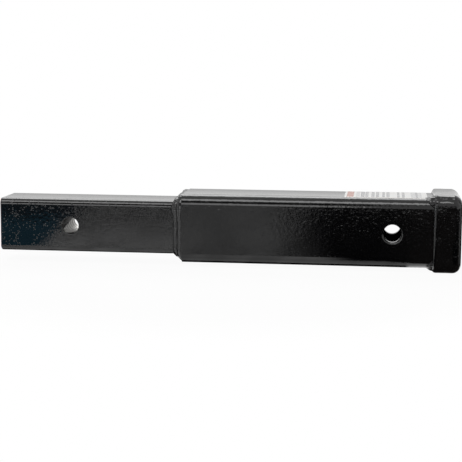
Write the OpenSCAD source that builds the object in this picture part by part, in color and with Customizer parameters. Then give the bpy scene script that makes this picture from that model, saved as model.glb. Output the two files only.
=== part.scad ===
// Hitch receiver extender: a square tube shank that pins into a vehicle's receiver,
// welded into a larger receiver tube that takes the next shank.
// X runs from the shank towards the receiver's mouth, Y is across and Z is up.
// The origin is the centre of the shank's pin hole. Millimetres.

/* [Shank] */
// Outside width of the square shank
shank_w = 50.8; // [48:0.1:54]
// Wall thickness of the shank
shank_wall = 6.35; // [4:0.05:8]
// Outside corner radius of the shank
shank_corner_r = 5.6; // [4:0.1:8]
// Inside corner radius of the shank
shank_inner_r = 1.6; // [0.8:0.1:3]
// Length of shank that stands out of the receiver tube
shank_exposed = 177.4; // [150:0.1:260]
// Length of shank hidden inside the receiver tube
shank_overlap = 50; // [30:1:90]
// Radius that breaks the outside edge at the shank's open end
shank_end_r = 1.2; // [0.4:0.1:3]

/* [Pin holes] */
// Distance from the shank's end to the centre of its pin hole
pin_from_end = 68.9; // [50:0.1:90]
// Distance from the mouth to the centre of the receiver's pin hole
pin_from_mouth = 63.5; // [55:0.1:80]
// Diameter of the receiver's pin hole
receiver_pin_d = 16.7; // [14:0.1:20]
// Radius of the rolled edge round the receiver's pin hole
pin_edge_r = 1.8; // [0.5:0.1:3]
// Outside diameter of the sleeve that lines the shank's pin hole
sleeve_d = 25.4; // [24:0.1:30]
// Diameter of the sleeve's bore, across the crests of its thread
sleeve_bore_d = 16.3; // [14:0.1:18]
// Depth of the countersink at each end of the sleeve
sleeve_countersink = 1.6; // [0.5:0.1:2.5]

/* [Receiver tube] */
// Length of the receiver tube, from its welded end to the mouth
receiver_len = 261.3; // [220:0.1:320]
// Wall thickness of the receiver tube
receiver_wall = 6.3; // [4.5:0.1:8]
// Outside corner radius of the receiver tube
receiver_corner_r = 9; // [6:0.1:11]
// Inside corner radius of the receiver tube
receiver_inner_r = 2.7; // [1.5:0.1:4]
// Radius that breaks the outside edge at the tube's welded end
receiver_end_r = 0.3; // [0.2:0.1:1]
// Chamfer at the mouth that leads a shank in
mouth_chamfer = 0.9; // [0.3:0.1:1.2]

/* [Collar] */
// Height of the collar above the receiver tube's faces
collar_step = 3.9; // [3:0.1:6]
// Distance from the mouth back to the collar's rear edge
collar_reach = 24; // [18:0.1:28]
// Outside corner radius of the collar
collar_corner_r = 9; // [8.7:0.1:12]
// Radius on the collar's rear edge
collar_rear_r = 0.9; // [0.4:0.1:1.5]
// Radius that rounds the mouth's outer edge
nose_r = 8.5; // [7.5:0.1:8.6]

/* [Welds] */
// Leg of the step weld along the shank
step_weld_leg = 8.6; // [6:0.1:10]
// Radius across each of the two runs of the step weld
step_run_r = 3.8; // [3.5:0.1:14]
// Leg of the collar's two front corner welds (-Y) along the receiver tube
corner_weld_leg = 7.2; // [5.5:0.1:8]
// Leg of the two rear corner welds (+Y), which are thinner
rear_corner_weld_leg = 3.4; // [3.2:0.1:8]
// How far each corner weld runs past the corner's curve
corner_weld_run = 4; // [2:0.1:5]
// Width of the mouth weld, from the collar to the mouth
mouth_weld_w = 7.4; // [6:0.1:10]

/* [Sticker] */
// Length of the sticker
sticker_len = 76.8; // [40:0.1:120]
// Width of the sticker across the top
sticker_w = 51.4; // [20:0.1:54]
// Thickness of the sticker
sticker_t = 0.2; // [0.1:0.05:0.5]
// Gap from the collar's corner welds to the sticker
sticker_gap = 0.6; // [0.3:0.1:60]

/* [Clearances] */
// Gap between the shank and the receiver tube, on each side
socket_play = 0.8; // [0.4:0.05:1.5]
// Gap between the collar and the receiver tube
collar_play = 0.15; // [0.05:0.05:0.4]
// Gap between the sleeve and the shank's walls
sleeve_play = 0.05; // [0.02:0.01:0.2]
// Gap between a weld and the steel that it seats on
weld_seat = 0.02; // [0.01:0.01:0.1]

/* [Hidden] */
$fn = 96;

// Overshoot that lets a cut run past the face it opens
cut = 1;

// Places along X
shank_end_x = -pin_from_end;
step_x = shank_end_x + shank_exposed;
shank_inner_x = step_x + shank_overlap;
mouth_x = step_x + receiver_len;
receiver_pin_x = mouth_x - pin_from_mouth;
collar_rear_x = mouth_x - collar_reach;
collar_front_x = mouth_x - mouth_weld_w;
sticker_x = collar_rear_x - corner_weld_leg - sticker_gap - sticker_len;

// Widths that follow from the shank's
socket_w = shank_w + 2 * socket_play;
receiver_w = socket_w + 2 * receiver_wall;
collar_w = receiver_w + 2 * collar_step;

// Heights of the welds, up to the rounded edge that each one meets
step_weld_h = (receiver_w - shank_w) / 2 - receiver_end_r - weld_seat;
corner_weld_h = collar_step - collar_rear_r - weld_seat;

paint = "#1b1c1e";
bare_steel = "#b9bbbd";
paper = "#e9e8e4";

// A square with round corners
module round_square(w, r) {
    square([w, w - 2 * r], center = true);
    square([w - 2 * r, w], center = true);
    for (sy = [-1, 1], sz = [-1, 1])
        translate([sy * (w / 2 - r), sz * (w / 2 - r)]) circle(r);
}

// Extrudes a section that lies across the tubes, from x to x + len
module along_x(x, len) {
    translate([x, 0, 0]) rotate([90, 0, 90]) linear_extrude(len) children();
}

// Extrudes a section along Y. The section's own x points up, and its y points along X.
module along_y(len, center = false) {
    rotate([-90, -90, 0]) linear_extrude(len, center = center) children();
}

// Turns a section about the X axis. The section's own y points along X.
module around_x(angle = 360) {
    rotate([90, 0, 90]) rotate_extrude(angle = angle) children();
}

// Repeats its children on the four faces of the tubes, from what they are on the top face
module each_face() {
    for (turn = [0:3]) rotate([90 * turn, 0, 0]) children();
}

// Repeats its children at the four corners of a square of width w and corner radius r
module each_corner(w, r) {
    each_face() translate([0, w / 2 - r, w / 2 - r]) children();
}

// A round bar across the tubes, along Y, centred on x
module across_y(x, d, len) {
    translate([x, 0, 0]) rotate([90, 0, 0]) cylinder(d = d, h = len, center = true);
}

// What a round of radius r takes from a sharp corner, with the round's centre at 0
module round_off(r) {
    difference() {
        square(r + cut);
        circle(r);
    }
}

// Half of a bar's side view: n up from the axis, from x0 to x1, with a round at each end
module bar_profile(n, x0, x1, r0, r1) {
    difference() {
        translate([0, x0]) square([n, x1 - x0]);
        if (r0 > 0) translate([n - r0, x0 + r0]) mirror([0, 1]) round_off(r0);
        if (r1 > 0) translate([n - r1, x1 - r1]) round_off(r1);
    }
}

// Solid square bar from x0 to x1, with long corners of radius corner_r
// and its end edges rounded by r0 and r1
module bar(w, corner_r, x0, x1, r0 = 0, r1 = 0) {
    for (turn = [0, 90]) rotate([turn, 0, 0])
        along_y(w - 2 * corner_r, center = true) {
            bar_profile(w / 2, x0, x1, r0, r1);
            mirror([1, 0]) bar_profile(w / 2, x0, x1, r0, r1);
        }
    each_corner(w, corner_r) around_x() bar_profile(corner_r, x0, x1, r0, r1);
}

// Square tube of the shank, open at both ends, with seats for the pin sleeve
module shank_tube() {
    color(paint) difference() {
        bar(shank_w, shank_corner_r, shank_end_x, shank_inner_x, r0 = shank_end_r);
        along_x(shank_end_x - cut, shank_inner_x - shank_end_x + 2 * cut)
            round_square(shank_w - 2 * shank_wall, shank_inner_r);
        across_y(0, sleeve_d + 2 * sleeve_play, shank_w + 2 * cut);
    }
}

// Sleeve that carries the pin through the hollow shank, flush with its sides
module pin_sleeve() {
    sink = sleeve_countersink + cut;
    color(bare_steel) difference() {
        across_y(0, sleeve_d, shank_w);
        across_y(0, sleeve_bore_d, shank_w + 2 * cut);
        for (side = [0, 180])
            rotate([90, 0, side]) translate([0, 0, shank_w / 2 - sleeve_countersink])
                cylinder(d1 = sleeve_bore_d, d2 = sleeve_bore_d + 2 * sink, h = sink);
    }
}

// Solid of the mouth's outside, from x0 to the mouth, with the mouth's outer edge rounded
module nose_form(x0, rear_r = 0) {
    bar(collar_w, collar_corner_r, x0, mouth_x, rear_r, nose_r);
}

// Receiver tube: open right through, drilled for the pin and rounded at the mouth
module receiver_tube() {
    nose_x = mouth_x - nose_r - cut;
    edge_centre = [receiver_pin_d / 2 + pin_edge_r, receiver_w / 2 - pin_edge_r];
    color(paint) difference() {
        bar(receiver_w, receiver_corner_r, step_x, mouth_x, r0 = receiver_end_r);
        along_x(step_x - cut, receiver_len + 2 * cut) round_square(socket_w, receiver_inner_r);
        across_y(receiver_pin_x, receiver_pin_d, receiver_w + 2 * cut);
        for (side = [0, 180]) translate([receiver_pin_x, 0, 0]) rotate([90, 0, side])
            rotate_extrude() translate(edge_centre) mirror([1, 0]) round_off(pin_edge_r);
        difference() {
            along_x(nose_x, nose_r + 2 * cut) square(collar_w + 2 * cut, center = true);
            nose_form(nose_x - cut);
        }
        mouth_lead_in();
    }
}

// Bevel cut round the inner edge of the mouth
module mouth_lead_in() {
    reach = mouth_chamfer + cut;
    each_face() translate([mouth_x - mouth_chamfer, 0, socket_w / 2 - cut])
        along_y(socket_w - 2 * receiver_inner_r, center = true)
            polygon([[0, 0], [cut, 0], [cut + reach, reach], [0, reach]]);
    each_corner(socket_w, receiver_inner_r) translate([mouth_x - mouth_chamfer, 0, 0])
        rotate([90, 0, 90])
            cylinder(r1 = receiver_inner_r, r2 = receiver_inner_r + reach, h = reach);
}

// Reinforcing collar, slipped over the receiver tube and set back from the mouth
module mouth_collar() {
    color(paint) difference() {
        nose_form(collar_rear_x, collar_rear_r);
        along_x(collar_rear_x - cut, collar_reach + 2 * cut)
            round_square(receiver_w + 2 * collar_play, receiver_corner_r + collar_play);
        along_x(collar_front_x, mouth_weld_w + cut) square(collar_w + 2 * cut, center = true);
    }
}

// Weld bead that fills the step between the collar and the mouth, dressed to a round nose
module mouth_weld() {
    color(paint) difference() {
        nose_form(collar_front_x + weld_seat);
        along_x(collar_front_x - cut, mouth_weld_w + 2 * cut)
            round_square(receiver_w + 2 * weld_seat, receiver_corner_r + weld_seat);
    }
}

// One run of weld in section: a circle of radius r that stands on the chord from a to b
module run_circle(a, b, r) {
    chord = b - a;
    half = norm(chord) / 2;
    inward = [chord.y, -chord.x] / norm(chord);
    translate((a + b) / 2 + inward * sqrt(r * r - half * half)) circle(r);
}

// Section of a fillet weld in the corner at 0: x is its height off the tube it lies on,
// and y runs back along that tube. Its face is laid in the given number of runs.
module fillet_section(height, leg, run_r, runs = 1) {
    top = [height, 0];
    toe = [0, -leg];
    intersection() {
        translate([0, -leg]) square([height, leg]);
        union() {
            polygon([[0, 0], toe, top]);
            for (i = [0:runs - 1])
                run_circle(top + (toe - top) * i / runs, top + (toe - top) * (i + 1) / runs, run_r);
        }
    }
}

// Fillet weld all round the step from the shank to the receiver tube's end, in two runs
module shank_weld() {
    flat = shank_w - 2 * shank_corner_r;
    color(paint) translate([step_x - weld_seat, 0, 0]) {
        each_corner(shank_w, shank_corner_r)
            around_x(90) translate([shank_corner_r + weld_seat, 0]) step_weld_section();
        each_face() translate([0, -flat / 2, shank_w / 2 + weld_seat])
            along_y(flat) step_weld_section();
    }
}

module step_weld_section() {
    fillet_section(step_weld_h, step_weld_leg, step_run_r, runs = 2);
}

// One weld bead wrapped round a corner of the receiver tube, against the collar's rear face.
// Corner 0 is at +Y +Z, and the others follow anticlockwise as seen from the mouth.
module collar_weld(corner) {
    inset = receiver_w / 2 - receiver_corner_r;
    seat_r = receiver_corner_r + weld_seat;
    leg = corner == 1 || corner == 2 ? corner_weld_leg : rear_corner_weld_leg;
    color(paint) rotate([90 * corner, 0, 0])
        translate([collar_rear_x - weld_seat, inset, inset]) {
            around_x(90) translate([seat_r, 0]) corner_weld_section(leg);
            translate([0, 0, seat_r]) corner_weld_end(leg);
            mirror([0, 1, -1]) translate([0, 0, seat_r]) corner_weld_end(leg);
        }
}

// The bead's domed end: a straight length on a face whose normal is +Z, running towards -Y
module corner_weld_end(leg) {
    foot = leg + weld_seat;
    centre_y = (foot * foot - corner_weld_run * corner_weld_run) / (2 * corner_weld_run);
    // Deepest centre at which the dome still starts as high as the bead, kept well clear of
    deepest = (foot * foot - corner_weld_h * corner_weld_h) / (2 * corner_weld_h);
    centre_z = -min(0.6 * deepest, corner_weld_h);
    intersection() {
        translate([0, -corner_weld_run, 0]) along_y(corner_weld_run) corner_weld_section(leg);
        translate([0, centre_y, centre_z]) sphere(norm([foot, centre_y, centre_z]));
    }
}

module corner_weld_section(leg) {
    tangent_r = (leg * leg + corner_weld_h * corner_weld_h) / (2 * corner_weld_h);
    fillet_section(corner_weld_h, leg, 1.05 * tangent_r);
}

// Printed sticker on the receiver's top, wrapped a little way over the round corners
module sticker() {
    color(paper) intersection() {
        difference() {
            along_x(sticker_x, sticker_len)
                round_square(receiver_w + 2 * sticker_t, receiver_corner_r + sticker_t);
            along_x(sticker_x - cut, sticker_len + 2 * cut)
                round_square(receiver_w, receiver_corner_r);
        }
        translate([sticker_x - cut, -sticker_w / 2, 0])
            cube([sticker_len + 2 * cut, sticker_w, receiver_w]);
    }
}

shank_tube();
pin_sleeve();
receiver_tube();
mouth_collar();
mouth_weld();
shank_weld();
collar_weld(0);  // collar_weld_upper_rear
collar_weld(1);  // collar_weld_upper_front
collar_weld(2);  // collar_weld_lower_front
collar_weld(3);  // collar_weld_lower_rear
sticker();
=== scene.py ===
import math
from collections import namedtuple

import bmesh
import bpy
from bpy.props import FloatProperty, FloatVectorProperty, PointerProperty
from mathutils import Matrix, Vector, noise


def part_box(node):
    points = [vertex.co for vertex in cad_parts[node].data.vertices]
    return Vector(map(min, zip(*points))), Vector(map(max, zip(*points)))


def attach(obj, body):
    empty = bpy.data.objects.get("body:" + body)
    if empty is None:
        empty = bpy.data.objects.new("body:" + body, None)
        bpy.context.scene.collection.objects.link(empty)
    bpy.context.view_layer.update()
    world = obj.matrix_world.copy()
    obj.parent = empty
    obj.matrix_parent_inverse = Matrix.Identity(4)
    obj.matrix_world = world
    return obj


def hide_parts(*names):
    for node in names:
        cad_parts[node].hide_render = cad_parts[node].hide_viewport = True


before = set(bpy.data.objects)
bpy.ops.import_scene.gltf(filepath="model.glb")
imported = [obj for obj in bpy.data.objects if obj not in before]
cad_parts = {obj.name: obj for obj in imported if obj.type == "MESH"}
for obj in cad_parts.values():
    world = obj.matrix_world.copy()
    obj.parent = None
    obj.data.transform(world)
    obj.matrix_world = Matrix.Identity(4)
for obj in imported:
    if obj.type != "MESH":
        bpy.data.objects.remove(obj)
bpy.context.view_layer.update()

bl_info = {
    "name": "Hitch receiver extender",
    "version": (1, 0, 0),
    "blender": (4, 5, 0),
    "location": "View3D > Sidebar > Extender",
    "description": "Dresses the welded hitch receiver extender in gloss enamel, bare steel and paper",
    "category": "Object",
}

MM = 0.001
QUARTER = math.pi / 2

# Sizes that the solids give, in metres. X runs from the shank to the mouth, and Z is up.
SHANK_LOW, SHANK_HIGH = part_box("shank_tube")
RECEIVER_LOW, RECEIVER_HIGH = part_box("receiver_tube")
COLLAR_LOW, COLLAR_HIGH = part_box("mouth_collar")
SLEEVE_LOW, SLEEVE_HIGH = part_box("pin_sleeve")
STICKER_LOW, STICKER_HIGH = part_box("sticker")
SHANK_HALF = SHANK_HIGH.z
RECEIVER_HALF = RECEIVER_HIGH.z
COLLAR_HALF = COLLAR_HIGH.z
STEP_X = RECEIVER_LOW.x
MOUTH_X = RECEIVER_HIGH.x
COLLAR_X = COLLAR_LOW.x
FLOOR_Z = -COLLAR_HALF
REAR_X = COLLAR_X - 2.1 * MM  # the collar's rear edge is round and stands a little further back
SEAT = 0.02 * MM  # gap from a bead or a ring to the steel that it sits on
NEAR = 0.001 * MM  # within this, two points count as level
CORNER_STEPS = 16  # facets round a tube's corner


def srgb(text):
    """A hex colour as the linear values that Blender works in."""
    parts = [int(text[i : i + 2], 16) / 255 for i in (1, 3, 5)]
    return tuple(v / 12.92 if v <= 0.04045 else ((v + 0.055) / 1.055) ** 2.4 for v in parts)


class ExtenderSizes(bpy.types.PropertyGroup):
    shank_corner: FloatProperty(
        name="Shank corner",
        description="Outside corner radius of the shank",
        default=5.6 * MM,
        unit="LENGTH",
    )
    receiver_corner: FloatProperty(
        name="Receiver corner",
        description="Outside corner radius of the receiver tube",
        default=9 * MM,
        unit="LENGTH",
    )
    collar_corner: FloatProperty(
        name="Collar corner",
        description="Outside corner radius of the collar",
        default=9 * MM,
        unit="LENGTH",
    )
    collar_rear: FloatProperty(
        name="Collar rear edge",
        description="Radius on the collar's rear edge",
        default=3 * MM,
        unit="LENGTH",
    )
    nose: FloatProperty(
        name="Nose radius",
        description="Radius that rounds the mouth's outer edge",
        default=8.5 * MM,
        unit="LENGTH",
    )
    thread_pitch: FloatProperty(
        name="Thread pitch",
        description="Distance between two crests of the pin sleeve's thread",
        default=2.5 * MM,
        unit="LENGTH",
    )
    thread_depth: FloatProperty(
        name="Thread depth",
        description="Depth of the thread from crest to root",
        default=0.4 * MM,
        unit="LENGTH",
    )
    bore: FloatProperty(
        name="Sleeve bore",
        description="Diameter across the crests of the pin sleeve's thread",
        default=15.8 * MM,
        unit="LENGTH",
    )
    step_run: FloatProperty(
        name="Step weld run",
        description="Radius across each of the two runs of the step weld",
        default=3.7 * MM,
        unit="LENGTH",
    )
    ripple: FloatProperty(
        name="Weld ripple",
        description="Distance between two ripples of a weld bead",
        default=2.1 * MM,
        unit="LENGTH",
    )


class ExtenderFinish(bpy.types.PropertyGroup):
    enamel: FloatVectorProperty(
        name="Enamel",
        description="Colour of the gloss enamel",
        default=srgb("#070708"),
        size=3,
        min=0,
        max=1,
        subtype="COLOR",
    )
    steel: FloatVectorProperty(
        name="Bare steel",
        description="Colour of the threaded steel",
        default=srgb("#d4d2ce"),
        size=3,
        min=0,
        max=1,
        subtype="COLOR",
    )
    paper: FloatVectorProperty(
        name="Paper",
        description="Ground colour of the sticker",
        default=srgb("#ecebe8"),
        size=3,
        min=0,
        max=1,
        subtype="COLOR",
    )
    peel: FloatProperty(
        name="Orange peel",
        description="Width of one cell of the orange peel in the enamel",
        default=2.6 * MM,
        unit="LENGTH",
    )
    nibs: FloatProperty(
        name="Nibs",
        description="Distance between two nibs or pits in the enamel",
        default=1.7 * MM,
        unit="LENGTH",
    )


def ramp(value, start, end):
    """How far the value has come from start to end, held between 0 and 1."""
    return min(1.0, max(0.0, (value - start) / (end - start)))


def add(tree, kind, settings=None, inputs=None):
    """Adds a node with its settings, and with its inputs set or linked."""
    made = tree.nodes.new(kind)
    for name, value in (settings or {}).items():
        setattr(made, name, value)
    for name, value in (inputs or {}).items():
        if isinstance(value, bpy.types.NodeSocket):
            tree.links.new(value, made.inputs[name])
        else:
            made.inputs[name].default_value = value
    return made


def empty_material(name):
    """A material with nothing in its node tree."""
    material = bpy.data.materials.new(name)
    material.use_nodes = True
    material.node_tree.nodes.clear()
    return material, material.node_tree


def new_material(name):
    """A material with its shader and its output, and the place on the object in metres."""
    material, tree = empty_material(name)
    shader = add(tree, "ShaderNodeBsdfPrincipled")
    add(tree, "ShaderNodeOutputMaterial", inputs={"Surface": shader.outputs[0]})
    place = add(tree, "ShaderNodeTexCoord").outputs["Object"]
    return material, tree, shader, place


WAVE_WIDTH = 22 * MM  # slow waves in the enamel's skin
CROWD_WIDTH = 12 * MM  # crowds of nibs
HOLLOW = 0.9  # how deep the tubes' faces sink, per metre, as it grows with the square of Y


def enamel(name, peel_depth, wave_depth, nib_depth, haze_low=0.06):
    """Gloss black enamel, sprayed on steel: a dark body under a mirror skin. The skin has
    orange peel a few millimetres across, slow waves, and crowds of nibs and pits that catch
    the lamps."""
    finish = bpy.context.scene.extender_finish
    material, tree, shader, place = new_material(name)
    peel = add(
        tree,
        "ShaderNodeTexNoise",
        inputs={"Vector": place, "Scale": 1 / finish.peel, "Detail": 1.5, "Roughness": 0.45},
    )
    wave = add(
        tree, "ShaderNodeTexNoise", inputs={"Vector": place, "Scale": 1 / WAVE_WIDTH, "Detail": 1.0}
    )
    crowd = add(
        tree, "ShaderNodeTexNoise", inputs={"Vector": place, "Scale": 1 / CROWD_WIDTH, "Detail": 2.0}
    )
    cells = add(tree, "ShaderNodeTexVoronoi", inputs={"Vector": place, "Scale": 1 / finish.nibs})
    chance = add(tree, "ShaderNodeSeparateColor", inputs={"Color": cells.outputs["Color"]})
    rare = add(
        tree,
        "ShaderNodeMapRange",
        inputs={"Value": crowd.outputs[0], "From Min": 0.35, "From Max": 0.65, "To Min": 0.95,
                "To Max": 0.25},
    )
    chosen = add(
        tree,
        "ShaderNodeMath",
        {"operation": "GREATER_THAN"},
        {0: chance.outputs["Red"], 1: rare.outputs[0]},
    )
    dome = add(
        tree,
        "ShaderNodeMapRange",
        {"interpolation_type": "SMOOTHSTEP"},
        {"Value": cells.outputs["Distance"], "From Min": 0.4, "From Max": 0.02, "To Max": 1.0},
    )
    height = add(
        tree,
        "ShaderNodeMapRange",
        inputs={"Value": chance.outputs["Green"], "To Min": -1.0, "To Max": 1.0},
    )
    nib = dome.outputs[0]
    for factor in (chosen, height):
        nib = add(
            tree, "ShaderNodeMath", {"operation": "MULTIPLY"}, {0: nib, 1: factor.outputs[0]}
        ).outputs[0]
    # Rolled tube sinks a little between its corners, which shades its top from rear to front
    across = add(tree, "ShaderNodeSeparateXYZ", inputs={"Vector": place}).outputs["Y"]
    hollow = add(tree, "ShaderNodeMath", {"operation": "MULTIPLY"}, {0: across, 1: across})
    normal = None
    for depth, relief in (
        (HOLLOW, hollow.outputs[0]),
        (wave_depth, wave.outputs[0]),
        (peel_depth, peel.outputs[0]),
        (nib_depth, nib),
    ):
        inputs = {"Distance": depth, "Height": relief}
        if normal:
            inputs["Normal"] = normal
        normal = add(tree, "ShaderNodeBump", inputs=inputs).outputs[0]
    haze = add(
        tree,
        "ShaderNodeMapRange",
        inputs={"Value": wave.outputs[0], "From Min": 0.3, "From Max": 0.7, "To Min": haze_low,
                "To Max": haze_low * 1.5},
    )
    shader.inputs["Base Color"].default_value = (*finish.enamel, 1)
    shader.inputs["IOR"].default_value = 1.5
    tree.links.new(haze.outputs[0], shader.inputs["Roughness"])
    tree.links.new(normal, shader.inputs["Normal"])
    return material


CREST_HIGHLIGHT_WIDTH = 7.3 * MM  # a painted highlight band in the sleeve's bore, where the thread's crests catch the light, light and dark together
STAIN_WIDTH = 5 * MM  # a stain of cutting oil
# Painted shade and overspray in the sleeve, as dark enamel: a slant, and how far along it in mm the
# enamel thins out and stops. The first is painted shade on the upper left wall half way in, where the
# bore gets less light; the second blackens the lower right wall near the front.
PAINTED_SHADE_AND_SPRAY = (((-0.6, -0.12, 0.8), 3.6, 5.0), ((2.3, -1.0, 0.0), 14.0, 15.2))


def threaded_steel():
    """Mild steel, drilled and tapped and left bare: bright grey metal with painted highlights in broad
    bands where the thread's crests catch the light, streaks and darker stains of cutting oil, painted
    light towards the bottom of the bore, and dark enamel as painted shade and overspray."""
    finish = bpy.context.scene.extender_finish
    material, tree, shader, place = new_material("bare_mild_steel_tapped")
    # Painted highlights: light and dark bands where the thread's crests catch the light. At scale 1, the
    # node's bands are 2 pi / 20 wide
    bands = add(
        tree,
        "ShaderNodeTexWave",
        {"bands_direction": "Y"},
        {"Vector": place, "Scale": 2 * math.pi / 20 / CREST_HIGHLIGHT_WIDTH, "Distortion": 1.6,
         "Detail": 2.0, "Detail Scale": 1.5},
    )
    stain = add(
        tree, "ShaderNodeTexNoise", inputs={"Vector": place, "Scale": 1 / STAIN_WIDTH, "Detail": 3.0}
    )
    stain_and_light = add(
        tree,
        "ShaderNodeMath",
        {"operation": "MULTIPLY_ADD"},
        {0: stain.outputs[0], 1: 0.9, 2: bands.outputs["Fac"]},
    )
    # Painted light: the bore grows lighter towards the bottom, where its floor mirrors the light from
    # above
    height = add(tree, "ShaderNodeSeparateXYZ", inputs={"Vector": place}).outputs["Z"]
    stain_and_light = add(
        tree,
        "ShaderNodeMath",
        {"operation": "MULTIPLY_ADD"},
        {0: height, 1: -0.12 / MM, 2: stain_and_light.outputs[0]},
    )
    share = add(
        tree,
        "ShaderNodeMapRange",
        inputs={"Value": stain_and_light.outputs[0], "From Min": 0.75, "From Max": 1.7},
    )
    # A darkened copy of the steel, for the oil stains and for the painted shade between the painted
    # highlights and towards the top
    darker = tuple(v * 0.12 for v in finish.steel)
    colour = add(
        tree,
        "ShaderNodeMix",
        {"data_type": "RGBA"},
        {"Factor": share.outputs[0], 6: (*darker, 1), 7: (*finish.steel, 1)},
    )
    bare = 1.0
    # Painted shade and overspray: each slant turns the bare steel to dark enamel, the first as painted
    # shade
    for slant, start, end in PAINTED_SHADE_AND_SPRAY:
        aside = add(
            tree, "ShaderNodeVectorMath", {"operation": "DOT_PRODUCT"}, {0: place, 1: slant}
        )
        shade_and_spray = add(
            tree,
            "ShaderNodeMapRange",
            {"interpolation_type": "SMOOTHSTEP"},
            {"Value": aside.outputs["Value"], "From Min": start * MM, "From Max": end * MM},
        )
        colour = add(
            tree,
            "ShaderNodeMix",
            {"data_type": "RGBA"},
            {"Factor": shade_and_spray.outputs[0], 6: colour.outputs[2], 7: (*finish.enamel, 1)},
        )
        bare = add(
            tree,
            "ShaderNodeMath",
            {"operation": "SUBTRACT"},
            {0: bare, 1: shade_and_spray.outputs[0]},
        ).outputs[0]
    rough = add(
        tree, "ShaderNodeMapRange", inputs={"Value": bare, "To Min": 0.5, "To Max": 0.28}
    )
    tree.links.new(colour.outputs[2], shader.inputs["Base Color"])
    tree.links.new(rough.outputs[0], shader.inputs["Roughness"])
    metal = add(tree, "ShaderNodeMapRange", inputs={"Value": bare})
    tree.links.new(metal.outputs[0], shader.inputs["Metallic"])
    return material


# Tones of the sticker's print
GROUND = "#f1f1ef"
BAND = "#c4978c"
PALE_BAR = "#cfcfd0"
BAR = "#a4a4a7"
DARK_BAR = "#95959a"
# The print from the sticker's shank end: where each column starts and ends in mm, and its tone.
# It is one band and plain bars, with nothing to read.
PRINT_COLUMNS = (
    (1.8, 8.2, BAND),
    (10.4, 13.8, PALE_BAR),
    (14.8, 18.4, DARK_BAR),
    (19.0, 22.0, BAR),
    (24.8, 27.6, BAR),
    (28.8, 31.8, BAR),
    (34.9, 37.4, BAR),
    (38.8, 41.7, BAR),
    (48.7, 51.1, BAR),
    (53.2, 56.0, BAR),
    (61.5, 66.0, PALE_BAR),
    (66.0, 68.0, DARK_BAR),
    (68.0, 71.5, PALE_BAR),
)
PRINT_HALF = 22.5 * MM  # how far the print reaches across from the sticker's middle
PRINT_BREAK = 2.2 * MM  # length of a break in a bar


def printed_paper():
    """Paper sticker with a satin film: an off-white ground, a washed red band and rows of grey
    bars, each broken along its length as small print is."""
    finish = bpy.context.scene.extender_finish
    material, tree, shader, place = new_material("satin_film_paper_printed")
    along = add(tree, "ShaderNodeSeparateXYZ", inputs={"Vector": place})
    share = add(
        tree,
        "ShaderNodeMapRange",
        inputs={"Value": along.outputs["X"], "From Min": STICKER_LOW.x, "From Max": STICKER_HIGH.x},
    )
    columns = add(tree, "ShaderNodeValToRGB", inputs={"Fac": share.outputs[0]})
    stops = {0.0: GROUND}
    for start, end, tone in PRINT_COLUMNS:
        stops.update({start: tone, end: GROUND})
    tones = columns.color_ramp
    tones.interpolation = "CONSTANT"
    tones.elements.remove(tones.elements[-1])
    tones.elements[0].color = (*srgb(stops.pop(0.0)), 1)
    length = (STICKER_HIGH.x - STICKER_LOW.x) / MM
    for start, tone in stops.items():
        tones.elements.new(start / length).color = (*srgb(tone), 1)
    breaks = add(
        tree,
        "ShaderNodeTexNoise",
        inputs={"Vector": place, "Scale": 1 / PRINT_BREAK, "Detail": 1.0},
    )
    broken = add(
        tree,
        "ShaderNodeMapRange",
        inputs={"Value": breaks.outputs[0], "From Min": 0.42, "From Max": 0.58, "To Min": 0.55,
                "To Max": 0.0},
    )
    past_band = add(
        tree,
        "ShaderNodeMath",
        {"operation": "GREATER_THAN"},
        {0: share.outputs[0], 1: PRINT_COLUMNS[0][1] / length},
    )
    broken = add(
        tree,
        "ShaderNodeMath",
        {"operation": "MULTIPLY"},
        {0: broken.outputs[0], 1: past_band.outputs[0]},
    )
    across = add(
        tree, "ShaderNodeMath", {"operation": "ABSOLUTE"}, {0: along.outputs["Y"]}
    )
    margin = add(
        tree,
        "ShaderNodeMath",
        {"operation": "GREATER_THAN"},
        {0: across.outputs[0], 1: PRINT_HALF},
    )
    blank = add(
        tree,
        "ShaderNodeMath",
        {"operation": "MAXIMUM"},
        {0: margin.outputs[0], 1: broken.outputs[0]},
    )
    colour = add(
        tree,
        "ShaderNodeMix",
        {"data_type": "RGBA"},
        {"Factor": blank.outputs[0], 6: columns.outputs[0], 7: (*finish.paper, 1)},
    )
    tree.links.new(colour.outputs[2], shader.inputs["Base Color"])
    shader.inputs["Roughness"].default_value = 0.42
    shader.inputs["IOR"].default_value = 1.45
    return material


def piece(bm, name, nodes, slot, *materials):
    """Makes the bmesh a smooth piece of the object that rides on it and stands for its nodes."""
    bmesh.ops.remove_doubles(bm, verts=bm.verts, dist=1e-7)
    bmesh.ops.recalc_face_normals(bm, faces=bm.faces)
    mesh = bpy.data.meshes.new(name)
    bm.to_mesh(mesh)
    bm.free()
    mesh.shade_smooth()
    mesh.set_sharp_from_angle(angle=math.radians(40))
    for material in materials:
        mesh.materials.append(material)
    obj = bpy.data.objects.new(name, mesh)
    bpy.context.scene.collection.objects.link(obj)
    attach(obj, "root")
    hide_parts(*nodes)
    return obj


def block(bm, x0, x1, half, corner, steps):
    """A square bar along X with its long edges rounded."""
    cube = bmesh.ops.create_cube(bm, size=1.0)["verts"]
    bmesh.ops.scale(bm, vec=(x1 - x0, 2 * half, 2 * half), verts=cube)
    bmesh.ops.translate(bm, vec=((x0 + x1) / 2, 0, 0), verts=cube)
    edges = {e for v in cube for e in v.link_edges}
    long_edges = [e for e in edges if abs(e.verts[0].co.x - e.verts[1].co.x) > (x1 - x0) / 2]
    round_edges(bm, long_edges, corner, steps)


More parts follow.
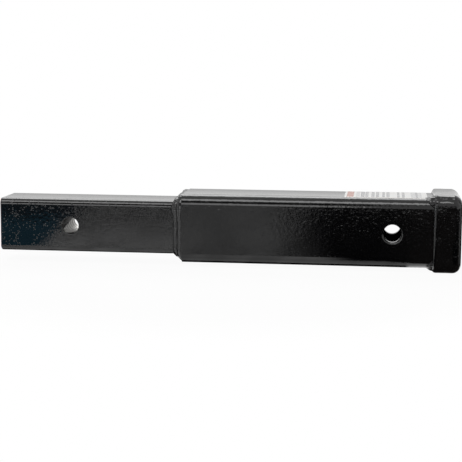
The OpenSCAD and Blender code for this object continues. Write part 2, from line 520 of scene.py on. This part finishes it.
def round_edges(bm, edges, radius, steps):
    bmesh.ops.bevel(
        bm,
        geom=edges,
        offset=radius,
        offset_type="OFFSET",
        segments=steps,
        profile=0.5,
        affect="EDGES",
        clamp_overlap=False,
        material=-1,
    )


def edges_at(bm, x):
    """The edges that lie across the tubes at x."""
    return [e for e in bm.edges if all(abs(v.co.x - x) < NEAR for v in e.verts)]


def open_ends(bm, *places):
    """Deletes the flat caps at these places along X."""
    caps = [
        f for f in bm.faces
        if any(all(abs(v.co.x - x) < NEAR for v in f.verts) for x in places)
    ]
    bmesh.ops.delete(bm, geom=caps, context="FACES_ONLY")


def slice_up(bm, normal, places):
    """Cuts the whole mesh by planes at these places along one axis."""
    axis = Vector(normal)
    for place in places:
        bmesh.ops.bisect_plane(
            bm,
            geom=bm.verts[:] + bm.edges[:] + bm.faces[:],
            dist=1e-7,
            plane_co=axis * place,
            plane_no=axis,
        )


class EXTENDER_OT_tubes(bpy.types.Operator):
    """Sprays the shank and the receiver tube, whose solids have the right shape, with enamel"""

    bl_idname = "extender.tubes"
    bl_label = "Tubes"

    def execute(self, context):
        for name, paint in (
            ("shank_tube", enamel("gloss_black_enamel_nibbed", 0.08 * MM, 0.12 * MM, 0.26 * MM)),
            ("receiver_tube", enamel("gloss_black_enamel_even", 0.13 * MM, 0.12 * MM, 0.035 * MM)),
        ):
            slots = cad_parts[name].material_slots
            if not slots:
                raise RuntimeError(f"{name} has no material slot")
            for slot in slots:
                slot.material = paint
        return {"FINISHED"}


class EXTENDER_OT_mouth_ring(bpy.types.Operator):
    """Makes the collar and the dressed mouth weld: one bull-nosed ring with uneven faces"""

    bl_idname = "extender.mouth_ring"
    bl_label = "Mouth ring"

    def execute(self, context):
        sizes = context.scene.extender_sizes
        bm = bmesh.new()
        # The outside, with its rear edge and its mouth rounded
        block(bm, REAR_X, MOUTH_X, COLLAR_HALF, sizes.collar_corner, CORNER_STEPS)
        round_edges(bm, edges_at(bm, REAR_X), sizes.collar_rear, 8)
        round_edges(bm, edges_at(bm, MOUTH_X), sizes.nose, 14)
        open_ends(bm, REAR_X, MOUTH_X)
        flat = COLLAR_HALF - sizes.collar_corner
        for axis in ((0, 1, 0), (0, 0, 1)):
            slice_up(bm, axis, [flat * (i / 9 - 1) for i in range(19)])
        slice_up(bm, (1, 0, 0), [REAR_X + 2 * MM * i for i in range(2, 9)])
        # The bore that the receiver tube's mouth fills, and the flat frame behind the collar
        inside = RECEIVER_HALF + SEAT
        bore_x = MOUTH_X - 1.4 * MM
        block(bm, REAR_X, bore_x, inside, sizes.receiver_corner, CORNER_STEPS)
        open_ends(bm, REAR_X, bore_x)
        bmesh.ops.triangle_fill(bm, use_beauty=True, edges=edges_at(bm, REAR_X))
        bmesh.ops.bridge_loops(bm, edges=edges_at(bm, MOUTH_X) + edges_at(bm, bore_x))
        bm.normal_update()
        # The weld that makes the nose is dressed by hand, most unevenly at its upper corners
        moves = []
        for v in bm.verts:
            if max(abs(v.co.y), abs(v.co.z)) > inside + 0.1 * MM:
                corner = max(0.0, 1 - abs(abs(v.co.y) - v.co.z) / (8 * MM))
                lump = (0.12 + 0.7 * corner) * MM * noise.noise(v.co / (5.5 * MM))
                moves.append((v, v.normal * (lump - 0.7 * MM * corner)))
        for v, move in moves:
            v.co += move
        paint = enamel("gloss_black_enamel_on_collar", 0.09 * MM, 0.2 * MM, 0.14 * MM)
        piece(bm, "mouth_ring", ("mouth_collar", "mouth_weld"), "black_paint", paint)
        return {"FINISHED"}


class EXTENDER_OT_pin_sleeve(bpy.types.Operator):
    """Turns the pin sleeve and cuts its thread, with its ends painted over"""

    bl_idname = "extender.pin_sleeve"
    bl_label = "Pin sleeve"

    def execute(self, context):
        sizes = context.scene.extender_sizes
        half = SLEEVE_HIGH.y
        outer = SLEEVE_HIGH.z
        crest = sizes.bore / 2
        sink = 0.9 * MM  # the countersink's depth
        rim = crest + sink
        lip = rim + 0.15 * MM  # a narrow ring round the rim, which keeps its shading crisp
        bm = bmesh.new()
        ends = [(outer, half), (lip, half), (rim, half), (rim, -half), (lip, -half), (outer, -half)]
        ring = [bm.verts.new((r, y, 0)) for r, y in ends]
        wall = bm.edges.new((ring[2], ring[3]))
        for i in (0, 1, 3, 4, 5):
            bm.edges.new((ring[i], ring[(i + 1) % len(ring)]))
        bmesh.ops.subdivide_edges(bm, edges=[wall], cuts=320)
        turned = bmesh.ops.spin(
            bm,
            geom=bm.verts[:] + bm.edges[:],
            cent=(0, 0, 0),
            axis=(0, 1, 0),
            angle=2 * math.pi,
            steps=96,
            use_merge=True,
        )
        if not turned:
            raise RuntimeError("the sleeve was not turned")
        for v in bm.verts:
            r = math.hypot(v.co.x, v.co.z)
            if r > rim + 0.1 * MM:
                continue
            turn = math.atan2(v.co.z, v.co.x) / (2 * math.pi)
            along = (v.co.y / sizes.thread_pitch + turn) % 1.0
            # The crests are worn flat
            flank = min(1.0, max(0.0, abs(along - 0.5) * 4 - 0.9))
            thread = crest + sizes.thread_depth * flank
            # The paint rounds the countersink's edge
            deep = max(0.0, sink - (half - abs(v.co.y)))
            wanted = max(thread, rim - math.sqrt(sink**2 - deep**2))
            v.co.x *= wanted / r
            v.co.z *= wanted / r
        steel = threaded_steel()
        paint = bpy.data.materials["gloss_black_enamel_nibbed"]
        obj = piece(bm, "pin_sleeve_tapped", ("pin_sleeve",), "bare_steel", steel, paint)
        for face in obj.data.polygons:
            if abs(face.center.y) > half - sink or face.center.xz.length > outer - 0.1 * MM:
                face.material_index = 1
        return {"FINISHED"}


def sweep(bm, edges, half, corner, flat_steps, corner_steps):
    """Carries a section once round the square tube, from the start of its top face. The section
    lies across the sweep, at y = corner - half."""
    flat = 2 * (half - corner)
    geom = edges + list({v for e in edges for v in e.verts})
    for side in range(4):
        turn = Matrix.Rotation(-QUARTER * side, 3, "X")
        geom = bmesh.ops.spin(
            bm,
            geom=geom,
            cent=(0, 0, 0),
            axis=(1, 0, 0),
            dvec=turn @ Vector((0, flat / flat_steps, 0)),
            angle=0,
            steps=flat_steps,
        )["geom_last"]
        centre = turn @ Vector((0, half - corner, half - corner))
        geom = bmesh.ops.spin(
            bm,
            geom=geom,
            cent=centre,
            axis=(1, 0, 0),
            angle=-QUARTER,
            steps=corner_steps,
        )["geom_last"]


def arc(bm, start, end, radius, steps, along):
    """An arc of the given radius from the vertex start to the point end, bulging away from the
    corner that the weld fills. Returns its last vertex."""
    chord = end - start.co
    half = chord.length / 2
    inward = along.cross(chord).normalized()
    centre = start.co + chord / 2 + inward * math.sqrt(radius**2 - half**2)
    angle = 2 * math.asin(half / radius)
    made = bmesh.ops.spin(
        bm, geom=[start], cent=centre, axis=along, angle=angle, steps=steps
    )["geom_last"]
    return [v for v in made if isinstance(v, bmesh.types.BMVert)][0]


# Unevenness of the step weld: how deep each kind is, and how wide across
RIPPLE_DEPTH = 0.2 * MM
LUMP_DEPTH = 0.5 * MM
LUMP_WIDTH = 7 * MM
GRAIN_DEPTH = 0.16 * MM
GRAIN_WIDTH = 1.7 * MM
SWELL = 2.2 * MM  # over the receiver tube's edge
SPILL = 2.6 * MM  # over the shank
SAG = 0.9 * MM


def hand_laid(v, s, share, ripple_gap):
    """How welding by hand moves a point of the step weld. Its place round the tube is s, and
    share runs from 0 at the receiver tube to 1 at the weld's toe, through both runs."""
    run = min(1, int(share * 2))
    t = share * 4 - 2 * run - 1
    fade = max(0.0, 1 - t**4)
    phase = s / ripple_gap + 0.55 * t * t + 0.4 * run
    ripple = RIPPLE_DEPTH * (1 - 2 * abs((phase % 1.0) - 0.35))
    lump = LUMP_DEPTH * noise.noise(Vector((s / LUMP_WIDTH, 3.1 * run, 0.4)))
    grain = GRAIN_DEPTH * noise.noise(v.co / GRAIN_WIDTH)
    # On top the weld swells over the receiver tube's edge, and at the upper front corner its toe
    # runs out over the shank
    swell = SWELL * ramp(v.co.z, 22 * MM, 28 * MM) * ramp(v.co.y, -12 * MM, 18 * MM)
    swell *= 1 - share**2
    spill = SPILL * max(0.0, 1 - abs(v.co.z - 19 * MM) / (7 * MM))
    spill *= ramp(v.co.y, -14 * MM, -22 * MM) * share
    # Below, gravity has pulled both runs flat
    sag = SAG * ramp(v.co.z, -19 * MM, -26 * MM) * (1 - t * t)
    return v.normal * ((ripple + lump + grain) * fade - sag) - Vector((swell + spill, 0, 0))


class EXTENDER_OT_step_weld(bpy.types.Operator):
    """Lays the fillet weld round the step in two rippled runs"""

    bl_idname = "extender.step_weld"
    bl_label = "Step weld"

    def execute(self, context):
        sizes = context.scene.extender_sizes
        low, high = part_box("shank_weld")
        seat = SHANK_HALF + SEAT
        top = high.z - seat
        toe = high.x - low.x
        flat_edge = SHANK_HALF - sizes.shank_corner
        bm = bmesh.new()
        first = Vector((high.x, -flat_edge, high.z))
        last = Vector((high.x - toe, -flat_edge, seat))
        start = bm.verts.new(first)
        along = Vector((0, -1, 0))
        middle = arc(bm, start, (first + last) / 2, sizes.step_run, 9, along)
        end = arc(bm, middle, last, sizes.step_run, 9, along)
        root = bm.verts.new((high.x, -flat_edge, seat))
        bm.edges.new((end, root))
        bm.edges.new((root, start))
        sweep(bm, bm.edges[:], SHANK_HALF, sizes.shank_corner, 100, 36)
        bmesh.ops.remove_doubles(bm, verts=bm.verts, dist=NEAR)
        bmesh.ops.recalc_face_normals(bm, faces=bm.faces)
        bm.normal_update()
        moves = []
        for v in bm.verts:
            out, s = round_square_place(v.co, flat_edge, sizes.shank_corner)
            back = high.x - v.co.x
            if back < 0.01 * MM:
                continue
            share = min(1.0, (back / toe + 1 - (out - SEAT) / top) / 2)
            moves.append((v, hand_laid(v, s, share, sizes.ripple)))
        for v, move in moves:
            v.co += move
        paint = enamel("gloss_black_enamel_on_weld", 0.04 * MM, 0.1 * MM, 0.03 * MM, 0.1)
        piece(bm, "step_bead", ("shank_weld",), "black_paint", paint)
        return {"FINISHED"}


BEAD_MIDDLE = 3 * MM  # how far the middle of a bead stands off the tube


def round_square_place(co, flat_edge, corner):
    """How far a point stands off a square tube with round corners, and how far round it lies."""
    y, z = co.y, co.z
    side = 0
    while not (z > abs(y) - 1e-9 and z > 0):
        y, z = -z, y
        side += 1
        if side > 3:
            break
    radius = corner + BEAD_MIDDLE
    length = 2 * flat_edge + QUARTER * radius
    if abs(y) <= flat_edge:
        return z - flat_edge - corner, side * length + y
    over = abs(y) - flat_edge
    up = z - flat_edge
    angle = math.atan2(over, up)
    sign = 1 if y > 0 else -1
    return (
        math.hypot(over, up) - corner,
        side * length + sign * (flat_edge + angle * radius),
    )


CORNER_TOP = 3.2 * MM  # how far the corner welds stand off the receiver tube
CORNER_RIPPLE = 2.6 * MM  # distance between two of their ripples
CORNER_LUMP = 3 * MM  # width of one of their lumps

CornerWeld = namedtuple("CornerWeld", "name turns legs runs lumps")

# The corner welds: name, quarter turns from the corner at +Y +Z, how the leg is scaled at the
# bead's start, middle and end, how far its start and end run past the corner's curve in mm, and
# how deep its lumps are in mm
CORNER_WELDS = (
    CornerWeld("upper_rear", 0, (0.8, 0.9, 0.9), (14, 5), 0.25),
    CornerWeld("upper_front", 1, (0.1, 1.25, 1.4), (3, 2.5), 0.8),
    CornerWeld("lower_front", 2, (1.0, 1.05, 0.2), (4, 1.5), 0.6),
    CornerWeld("lower_rear", 3, (1.0, 1.0, 1.0), (5, 5), 0.4),
)


class EXTENDER_OT_corner_welds(bpy.types.Operator):
    """Lays the four short welds that hold the collar's corners to the receiver tube"""

    bl_idname = "extender.corner_welds"
    bl_label = "Corner welds"

    def execute(self, context):
        paint = bpy.data.materials["gloss_black_enamel_on_weld"]
        for weld in CORNER_WELDS:
            self.bead(context.scene.extender_sizes, paint, weld)
        return {"FINISHED"}

    def bead(self, sizes, paint, weld):
        node = f"collar_weld_{weld.name}"
        low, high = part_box(node)
        corner = sizes.receiver_corner
        bm = self.swept(low.x, high.x, RECEIVER_HALF - corner, weld)
        self.dress(bm, high.x, corner, weld)
        bmesh.ops.rotate(
            bm,
            cent=(0, 0, 0),
            matrix=Matrix.Rotation(QUARTER * weld.turns, 3, "X"),
            verts=bm.verts,
        )
        bmesh.ops.remove_doubles(bm, verts=bm.verts, dist=NEAR)
        piece(bm, f"corner_bead_{weld.name}", (node,), "black_paint", paint)

    def swept(self, toe_x, back_x, inset, weld):
        """An even bead, swept round the corner at +Y +Z and a little past it on both sides."""
        base = RECEIVER_HALF + SEAT
        first_run, last_run = (run * MM for run in weld.runs)
        bm = bmesh.new()
        start = bm.verts.new((back_x, inset - first_run, base + CORNER_TOP))
        toe = Vector((toe_x, inset - first_run, base))
        radius = 1.5 * ((back_x - toe_x) ** 2 + CORNER_TOP**2) / (2 * CORNER_TOP)
        end = arc(bm, start, toe, radius, 14, Vector((0, -1, 0)))
        root = bm.verts.new((back_x, inset - first_run, base))
        bm.edges.new((end, root))
        bm.edges.new((root, start))
        geom = bm.verts[:] + bm.edges[:]
        centre = Vector((0, inset, inset))
        for step, angle, steps in (
            (Vector((0, first_run / 16, 0)), 0, 16),
            (Vector(), -QUARTER, 44),
            (Vector((0, 0, -last_run / 16)), 0, 16),
        ):
            geom = bmesh.ops.spin(
                bm, geom=geom, cent=centre, axis=(1, 0, 0), dvec=step, angle=angle, steps=steps
            )["geom_last"]
        bm.normal_update()
        return bm

    def dress(self, bm, back_x, corner, weld):
        """Draws the bead's ends in to domes, gives it its uneven width and adds its lumps."""
        inset = RECEIVER_HALF - corner
        first_run, last_run = (run * MM for run in weld.runs)
        shift = Vector((7.7 * weld.turns, 0, 0))
        moves = []
        for v in bm.verts:
            out, s = round_square_place(v.co, inset, corner)
            out -= SEAT
            back = back_x - v.co.x
            past, run, outward = 0.0, first_run, Vector((0, v.co.y - inset, v.co.z - inset))
            if v.co.y < inset:
                past, outward = inset - v.co.y, Vector((0, 0, 1))
            elif v.co.z < inset:
                past, run, outward = inset - v.co.z, last_run, Vector((0, 1, 0))
            outward.normalize()
            shrink = math.sqrt(max(0.0, 1 - (past / run) ** 2))
            turned = math.atan2(v.co.y - inset, v.co.z - inset) / QUARTER
            share = ramp(turned, 0, 1) * 2
            side = min(1, int(share))
            widen = weld.legs[side] + (weld.legs[side + 1] - weld.legs[side]) * (share - side)
            wave = 0.0
            if out > 0.01 * MM and back > 0.01 * MM:
                phase = s / CORNER_RIPPLE + 0.3 * weld.turns + 0.02 * back / MM
                wave = 0.25 * weld.lumps * MM * (1 - 2 * abs((phase % 1.0) - 0.4))
                wave += weld.lumps * MM * noise.noise(v.co / CORNER_LUMP + shift)
            moves.append((v, shrink, widen * shrink, outward, out, back, wave * shrink))
        for v, low_share, back_share, outward, out, back, wave in moves:
            v.co -= outward * out * (1 - low_share * min(1.0, 0.3 + back_share))
            v.co.x += back * (1 - back_share)
            v.co += (outward * 0.8 + Vector((-0.6, 0, 0))) * wave


class EXTENDER_OT_sticker(bpy.types.Operator):
    """Lays the printed sticker on the receiver's top, a little way over its corners"""

    bl_idname = "extender.sticker"
    bl_label = "Sticker"

    def execute(self, context):
        sizes = context.scene.extender_sizes
        flat_edge = RECEIVER_HALF - sizes.receiver_corner
        lap = math.asin((STICKER_HIGH.y - flat_edge) / (sizes.receiver_corner + 0.2 * MM))
        bm = bmesh.new()
        base = RECEIVER_HALF + 0.01 * MM
        left = bm.verts.new((STICKER_LOW.x, -flat_edge, base))
        right = bm.verts.new((STICKER_LOW.x, flat_edge, base))
        bm.edges.new((left, right))
        for v, sign in ((left, 1), (right, -1)):
            bmesh.ops.spin(
                bm,
                geom=[v],
                cent=(0, v.co.y, flat_edge),
                axis=(1, 0, 0),
                angle=sign * lap,
                steps=5,
            )
        sheet = bmesh.ops.spin(
            bm,
            geom=bm.verts[:] + bm.edges[:],
            cent=(0, 0, 0),
            axis=(1, 0, 0),
            dvec=((STICKER_HIGH.x - STICKER_LOW.x) / 12, 0, 0),
            angle=0,
            steps=12,
        )
        if not sheet:
            raise RuntimeError("the sticker was not laid")
        bmesh.ops.remove_doubles(bm, verts=bm.verts, dist=1e-7)
        bmesh.ops.recalc_face_normals(bm, faces=bm.faces)
        if sum(f.normal.z for f in bm.faces) < 0:
            bmesh.ops.reverse_faces(bm, faces=bm.faces)
        bmesh.ops.solidify(bm, geom=bm.faces[:], thickness=-0.18 * MM)
        piece(bm, "top_sticker", ("sticker",), "sticker_paper", printed_paper())
        return {"FINISHED"}


Softbox = namedtuple("Softbox", "name elevation distance tall wide middle brightness")

# Softboxes: elevation of its middle over the object from the front horizon in degrees,
# distance, height across and width in metres, middle along X, and brightness, where white is 1
SOFTBOXES = (
    Softbox("softbox_behind", 132.0, 1.6, 1.0, 1.25, -0.05, 3.6),
    Softbox("softbox_above", 56.5, 1.6, 0.62, 1.25, -0.05, 4.2),
    Softbox("strip_in_front", 7.0, 1.75, 0.42, 1.0, -0.28, 2.2),
)

Card = namedtuple("Card", "name x y height lean fade colour level")

# Flat cards that only reflections see, in mm: reach along X and Y, height over the tubes' axis,
# how far the left and the right edge lean along Y, how far the left, right, near and far edges
# fade in, colour, and brightness, where white is 1
CARDS = (
    Card("dark_gap", (-700, 300), (-1650, -765), 600, (0, 0), (30, 25, 40, 40), "#ffffff", 0.04),
    Card("far_floor", (-900, 900), (-1150, -100), -36.3, (0, 0), (60, 60, 120, 60), "#ffffff", 0.6),
    Card("left_end", (-900, -78), (-760, -45), -36.25, (0, 0.311), (60, 12, 60, 20), "#ffffff", 2.2),
    Card("near_floor", (-55, 130), (-430, -24), -36.2, (0.2, 0), (30, 20, 300, 3), "#ffffff", 1.2),
    Card("grey_floor", (92, 900), (-900, -36), -36.1, (0.148, 0), (24, 60, 60, 14), "#ffffff", 0.69),
    Card("left_floor", (-84, -28), (-760, -60), -36.0, (0.311, 0.137), (10, 18, 60, 30), "#50869f", 1),
    Card("left_patch", (-84, -26), (-720, -300), -35.95, (0.311, 0.137), (30, 16, 60, 90), "#40505a", 1),
    Card("right_floor", (178, 900), (-760, -36), -35.9, (0.056, 0), (80, 60, 60, 3), "#101012", 1),
    Card("right_end", (290, 900), (-760, -36), -35.85, (0, 0), (60, 60, 60, 3), "#403c3a", 1),
    Card("right_side", (380, 1400), (-240, 800), -35.82, (0, 0), (8, 60, 60, 60), "#141416", 1),
    Card("nose_streak", (420, 580), (-24, 300), -35.815, (1.77, 7.1), (6, 10, 8, 60), "#ffffff", 0.5),
    Card("glint", (195, 245), (-150, -40), -35.81, (-5.1, -5.1), (15, 15, 30, 10), "#ffffff", 0.9),
    Card("bounce", (96, 275), (-95, -27), -35.8, (0, 0), (6, 45, 22, 3), "#ffffff", 1.1),
    Card("bounce_near", (100, 318), (-48, -27), -35.75, (0, 0), (6, 20, 12, 3), "#ffffff", 0.9),
    # Painted shadow: a black card that stands for the shadow under the shank, where the enamel mirrors
    # the floor
    Card("painted_shadow_under_shank", (-76, 106), (-22, 22), -35.7, (0, 0), (2, 2, 3, 3), "#000000", 1),
    Card("toe_glow", (94, 102), (-16, 16), -35.68, (0, 0), (3, 2, 3, 6), "#ffffff", 1.3),
    # Painted shadow: a black card that stands for the shadow under the receiver tube, where the enamel
    # mirrors the floor
    Card("painted_shadow_under_tube", (104, 372), (-30, 30), -35.65, (0, 0), (2, 2, 3, 3), "#000000", 1),
    Card("by_collar", (320, 900), (-70, -20), -35.6, (0, 0), (12, 60, 10, 4), "#403c3a", 1),
    Card("bead_glow", (318, 342), (-38, -16), -35.55, (0, 0), (6, 5, 6, 6), "#ffffff", 1.8),
)

CREASE_WIDTH = 38 * MM  # a crease in a card

# How bright the white backdrop is as light, in reflections, and to the camera
BACKDROP_LIGHT = 0.1
BACKDROP_MIRRORED = 0.86
BACKDROP_SEEN = 1.0

# The camera that was fitted to the photograph's outlines: its place in metres, its yaw, its
# downward pitch and its roll in degrees, and its lens and its sensor's width in mm
CAMERA_PLACE = (0.295416, -1.204587, 0.166470)
CAMERA_TURN = (-6.78, 8.06, 0.32)
CAMERA_LENS = 98.98
CAMERA_SENSOR = 36.0


def camera_rays(tree):
    """The light path, and whether the ray comes from the camera, straight or through glass."""
    path = add(tree, "ShaderNodeLightPath")
    seen = add(
        tree,
        "ShaderNodeMath",
        {"operation": "MAXIMUM"},
        {0: path.outputs["Is Camera Ray"], 1: path.outputs["Is Transmission Ray"]},
    )
    return path, seen


class EXTENDER_OT_studio(bpy.types.Operator):
    """Sets up the pale floor, the soft lamps, the cards that reflections see, and the camera"""

    bl_idname = "extender.studio"
    bl_label = "Studio"

    def execute(self, context):
        scene = context.scene
        scene.view_settings.view_transform = "Standard"
        self.world(scene)
        self.floor(scene)
        for box in SOFTBOXES:
            self.softbox(scene, box)
        for card in CARDS:
            self.card(scene, card)
        self.camera(scene)
        return {"FINISHED"}

    def world(self, scene):
        world = bpy.data.worlds.new("white_backdrop")
        scene.world = world
        world.use_nodes = True
        tree = world.node_tree
        tree.nodes.clear()
        path, seen = camera_rays(tree)
        level = BACKDROP_LIGHT
        for ray, bright in (
            (path.outputs["Is Glossy Ray"], BACKDROP_MIRRORED),
            (seen.outputs[0], BACKDROP_SEEN),
        ):
            level = add(
                tree,
                "ShaderNodeMix",
                {"data_type": "FLOAT"},
                {0: ray, 2: level, 3: bright},
            ).outputs[0]
        back = add(
            tree,
            "ShaderNodeBackground",
            inputs={"Color": (1, 1, 1, 1), "Strength": level},
        )
        add(tree, "ShaderNodeOutputWorld", inputs={"Surface": back.outputs[0]})

    def floor(self, scene):
        bm = bmesh.new()
        bmesh.ops.create_grid(bm, x_segments=1, y_segments=1, size=4.0)
        bmesh.ops.translate(bm, vec=(0.15, 0, FLOOR_Z), verts=bm.verts)
        obj = self.stage_mesh(scene, bm, "pale_floor")
        material, tree = empty_material("pale_matt_paper")
        path, seen = camera_rays(tree)
        # White paper that glows for the camera: a little less where the object's shadow falls
        place = add(tree, "ShaderNodeTexCoord").outputs["Object"]
        middle = Vector(((SHANK_LOW.x + MOUTH_X) / 2, 0, FLOOR_Z))
        away = add(
            tree, "ShaderNodeVectorMath", {"operation": "DISTANCE"}, {0: place, 1: middle}
        )
        glow_share = add(
            tree,
            "ShaderNodeMapRange",
            {"interpolation_type": "SMOOTHSTEP"},
            {"Value": away.outputs["Value"], "From Min": 0.24, "From Max": 0.36,
             "To Min": 0.95, "To Max": 1.0},
        )
        share = add(
            tree,
            "ShaderNodeMath",
            {"operation": "MULTIPLY"},
            {0: seen.outputs[0], 1: glow_share.outputs[0]},
        )
        share = add(
            tree,
            "ShaderNodeMath",
            {"operation": "MAXIMUM"},
            {0: share.outputs[0], 1: path.outputs["Is Glossy Ray"]},
        )
        matt = add(
            tree, "ShaderNodeBsdfDiffuse", inputs={"Color": (*srgb("#f6f6f6"), 1)}
        )
        glow = add(
            tree, "ShaderNodeEmission", inputs={"Color": (1, 1, 1, 1), "Strength": 1.0}
        )
        mixed = add(
            tree,
            "ShaderNodeMixShader",
            inputs={0: share.outputs[0], 1: matt.outputs[0], 2: glow.outputs[0]},
        )
        add(tree, "ShaderNodeOutputMaterial", inputs={"Surface": mixed.outputs[0]})
        obj.data.materials.append(material)

    def stage_mesh(self, scene, bm, name):
        mesh = bpy.data.meshes.new(name)
        bm.to_mesh(mesh)
        bm.free()
        obj = bpy.data.objects.new(name, mesh)
        scene.collection.objects.link(obj)
        return obj

    def softbox(self, scene, box):
        lamp = bpy.data.lights.new(box.name, "AREA")
        lamp.shape = "RECTANGLE"
        lamp.size = box.wide
        lamp.size_y = box.tall
        lamp.energy = box.brightness * math.pi * box.wide * box.tall
        obj = bpy.data.objects.new(box.name, lamp)
        scene.collection.objects.link(obj)
        elevation = math.radians(box.elevation)
        away = Vector((0, -math.cos(elevation), math.sin(elevation)))
        place = Vector((box.middle, 0, 0)) + away * box.distance
        across = Vector((1, 0, 0))
        turn = Matrix((across, away.cross(across), away)).transposed()
        obj.matrix_world = Matrix.Translation(place) @ turn.to_4x4()
        obj.visible_camera = False

    def card(self, scene, card):
        (x0, x1), (y0, y1) = card.x, card.y
        slack = max(abs(lean * y) for lean in card.lean for y in card.y)
        bm = bmesh.new()
        grid = bmesh.ops.create_grid(bm, x_segments=1, y_segments=1, size=0.5)["verts"]
        bmesh.ops.scale(bm, vec=((x1 - x0 + 2 * slack) * MM, (y1 - y0) * MM, 1), verts=grid)
        middle = Vector(((x0 + x1) / 2, (y0 + y1) / 2, card.height)) * MM
        bmesh.ops.translate(bm, vec=middle, verts=grid)
        obj = self.stage_mesh(scene, bm, card.name)
        material, tree = empty_material(card.name)
        place = add(tree, "ShaderNodeTexCoord").outputs["Object"]
        split = add(tree, "ShaderNodeSeparateXYZ", inputs={"Vector": place})
        left, right = (
            add(
                tree,
                "ShaderNodeMath",
                {"operation": "MULTIPLY_ADD"},
                {0: split.outputs["Y"], 1: -lean, 2: split.outputs["X"]},
            ).outputs[0]
            for lean in card.lean
        )
        ways = (left, right, split.outputs["Y"], split.outputs["Y"])
        share = None
        for way, edge, inward, fade in zip(ways, (x0, x1, y0, y1), (1, -1, 1, -1), card.fade):
            faded = add(
                tree,
                "ShaderNodeMapRange",
                {"interpolation_type": "SMOOTHSTEP"},
                {"Value": way, "From Min": edge * MM, "From Max": (edge + inward * fade) * MM},
            ).outputs[0]
            share = faded if share is None else add(
                tree, "ShaderNodeMath", {"operation": "MULTIPLY"}, {0: share, 1: faded}
            ).outputs[0]
        # Crumpled paper: its creases, long in Y because the tubes foreshorten them, mottle what
        # the enamel mirrors
        drawn = add(
            tree, "ShaderNodeVectorMath", {"operation": "MULTIPLY"}, {0: place, 1: (1, 0.22, 1)}
        )
        creases = add(
            tree,
            "ShaderNodeTexNoise",
            inputs={"Vector": drawn.outputs[0], "Scale": 1 / CREASE_WIDTH, "Detail": 2.0,
                    "Roughness": 0.6},
        )
        level = add(
            tree,
            "ShaderNodeMapRange",
            inputs={"Value": creases.outputs[0], "From Min": 0.3, "From Max": 0.7,
                    "To Min": card.level * 0.68, "To Max": card.level * 1.32},
        )
        clear = add(tree, "ShaderNodeBsdfTransparent")
        lit = add(
            tree,
            "ShaderNodeEmission",
            inputs={"Color": (*srgb(card.colour), 1), "Strength": level.outputs[0]},
        )
        mixed = add(
            tree,
            "ShaderNodeMixShader",
            inputs={0: share, 1: clear.outputs[0], 2: lit.outputs[0]},
        )
        add(tree, "ShaderNodeOutputMaterial", inputs={"Surface": mixed.outputs[0]})
        obj.data.materials.append(material)
        obj.visible_camera = False
        obj.visible_diffuse = False
        obj.visible_transmission = False
        obj.visible_shadow = False

    def camera(self, scene):
        data = bpy.data.cameras.new("camera")
        data.lens = CAMERA_LENS
        data.sensor_width = CAMERA_SENSOR
        obj = bpy.data.objects.new("camera", data)
        scene.collection.objects.link(obj)
        yaw, pitch, roll = (math.radians(v) for v in CAMERA_TURN)
        ahead = Vector(
            (math.sin(yaw) * math.cos(pitch), math.cos(yaw) * math.cos(pitch), -math.sin(pitch))
        )
        right = Vector((math.cos(yaw), -math.sin(yaw), 0))
        up = right.cross(ahead)
        rolled = right * math.cos(roll) + up * math.sin(roll)
        lifted = up * math.cos(roll) - right * math.sin(roll)
        turned = Matrix((rolled, lifted, -ahead)).transposed().to_4x4()
        obj.matrix_world = Matrix.Translation(CAMERA_PLACE) @ turned
        scene.camera = obj


STEPS = (
    EXTENDER_OT_tubes,
    EXTENDER_OT_pin_sleeve,
    EXTENDER_OT_mouth_ring,
    EXTENDER_OT_step_weld,
    EXTENDER_OT_corner_welds,
    EXTENDER_OT_sticker,
    EXTENDER_OT_studio,
)


class VIEW3D_PT_extender(bpy.types.Panel):
    bl_idname = "VIEW3D_PT_extender"
    bl_label = "Hitch receiver extender"
    bl_space_type = "VIEW_3D"
    bl_region_type = "UI"
    bl_category = "Extender"

    def draw(self, context):
        for group in (context.scene.extender_sizes, context.scene.extender_finish):
            for name in group.bl_rna.properties.keys():
                if name not in ("rna_type", "name"):
                    self.layout.prop(group, name)
        for step in STEPS:
            self.layout.operator(step.bl_idname)


CLASSES = (ExtenderSizes, ExtenderFinish, *STEPS, VIEW3D_PT_extender)


def register():
    for cls in CLASSES:
        bpy.utils.register_class(cls)
    bpy.types.Scene.extender_sizes = PointerProperty(type=ExtenderSizes)
    bpy.types.Scene.extender_finish = PointerProperty(type=ExtenderFinish)


def unregister():
    del bpy.types.Scene.extender_finish
    del bpy.types.Scene.extender_sizes
    for cls in reversed(CLASSES):
        bpy.utils.unregister_class(cls)


def main():
    register()
    for step in STEPS:
        group, name = step.bl_idname.split(".")
        getattr(getattr(bpy.ops, group), name)()


if __name__ == "__main__":
    main()
